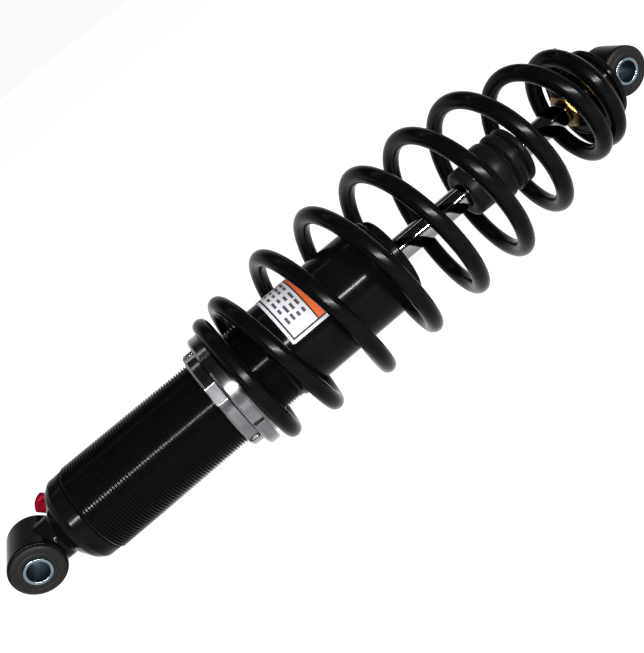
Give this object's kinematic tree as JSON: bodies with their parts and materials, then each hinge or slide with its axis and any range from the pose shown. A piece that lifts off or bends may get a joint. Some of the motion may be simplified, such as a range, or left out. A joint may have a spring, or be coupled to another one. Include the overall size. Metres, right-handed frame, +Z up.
{
  "type": "coil-over rear shock absorber",
  "caption": "Coil-over shock: threaded damper body, preload and lock rings, barrel coil spring, chromed rod, bump stop and a rubber-bushed bolt eye at each end.",
  "frame": {"origin": "centre of the body eye, on the axis of its bolt", "axes": "+X along the shock from the body eye to the rod eye, Y along both eye bolts, +Z up; the gas valve is on the +Z side"},
  "size_m": [0.39, 0.0878, 0.0879],
  "materials": {
    "black_anodised": "gloss black anodised alloy",
    "powder_black": "gloss black powder coat on spring steel",
    "black_rubber": "matt black rubber",
    "bare_alloy": "turned aluminium",
    "zinc_steel": "bright zinc plated steel",
    "chrome": "hard chrome, polished",
    "red_anodised": "red anodised alloy",
    "yellow_zinc": "yellow passivated zinc plated steel",
    "bronze": "sintered bronze with a polymer lining",
    "seal_blue": "filled PTFE and polyurethane",
    "label_film": "printed vinyl film, satin"
  },
  "bodies": {
    "damper_body": {"end_cap": "black_anodised", "end_cap_o_ring": "black_rubber", "lower_bushing": "black_rubber", "damper_tube": "black_anodised", "fill_valve": "black_rubber", "label": "label_film", "seal_head": "bare_alloy", "seal_head_o_ring": "black_rubber", "guide_bush": "bronze", "rod_seal": "seal_blue", "retaining_ring": "zinc_steel", "seal_head_cap": "black_anodised", "wiper_seal": "black_rubber", "coil_spring": "powder_black"},
    "lower_eye_sleeve": {"lower_sleeve": "zinc_steel"},
    "gas_valve_cap": {"valve_cap": "red_anodised"},
    "gas_piston": {"floating_piston": "bare_alloy", "floating_piston_o_ring": "black_rubber", "floating_piston_band": "seal_blue"},
    "preload_ring": {"preload_ring": "bare_alloy"},
    "lock_ring": {"lock_ring": "bare_alloy"},
    "spring_seat": {"spring_retainer": "black_anodised"},
    "bump_stop": {"bump_stop": "black_rubber"},
    "shaft": {"piston_rod": "chrome", "piston_nut": "zinc_steel", "compression_shims": "zinc_steel", "piston": "bare_alloy", "piston_band": "seal_blue", "rebound_shims": "zinc_steel", "backing_washer": "zinc_steel", "top_out_bumper": "black_rubber", "jam_nut": "yellow_zinc", "upper_eye": "black_anodised", "upper_bushing": "black_rubber"},
    "upper_eye_sleeve": {"upper_sleeve": "zinc_steel"}
  },
  "joints": [
    {"name": "shock_travel", "type": "slide", "parent": "damper_body", "child": "spring_seat", "axis": [1, 0, 0], "range_m": [-0.08, 0], "stiffness_N_per_m": 10500, "springref_m": 0.018, "deforming": ["coil_spring", "bump_stop"]},
    {"name": "shaft_swivel", "type": "hinge", "parent": "spring_seat", "child": "shaft", "pos_m": [0.3643, 0, 0], "axis": [1, 0, 0], "range_deg": [-30, 30]},
    {"name": "bump_stop_slide", "type": "slide", "parent": "spring_seat", "child": "bump_stop", "axis": [1, 0, 0], "range_m": [0, 0.0326]},
    {"name": "gas_piston_slide", "type": "slide", "parent": "damper_body", "child": "gas_piston", "axis": [1, 0, 0], "range_m": [-0.0092, 0]},
    {"name": "preload_ring_travel", "type": "slide", "parent": "damper_body", "child": "preload_ring", "axis": [1, 0, 0], "range_m": [-0.054, 0]},
    {"name": "lock_ring_travel", "type": "slide", "parent": "preload_ring", "child": "lock_ring", "axis": [1, 0, 0], "range_m": [-0.012, 0]},
    {"name": "valve_cap_off", "type": "slide", "parent": "damper_body", "child": "gas_valve_cap", "axis": [-0.7071, 0.5721, 0.4156], "range_m": [0, 0.009]},
    {"name": "lower_sleeve_twist", "type": "hinge", "parent": "damper_body", "child": "lower_eye_sleeve", "pos_m": [0, 0, 0], "axis": [0, 1, 0], "range_deg": [-15, 15], "stiffness_Nm_per_rad": 8},
    {"name": "upper_sleeve_twist", "type": "hinge", "parent": "shaft", "child": "upper_eye_sleeve", "pos_m": [0.3643, 0, 0], "axis": [0, 1, 0], "range_deg": [-15, 15], "stiffness_Nm_per_rad": 8}
  ],
  "couplings": [
    {"joint": "bump_stop_slide", "follows": "shock_travel", "ratio": -0.405},
    {"joint": "gas_piston_slide", "follows": "shock_travel", "ratio": 0.1117}
  ]
}
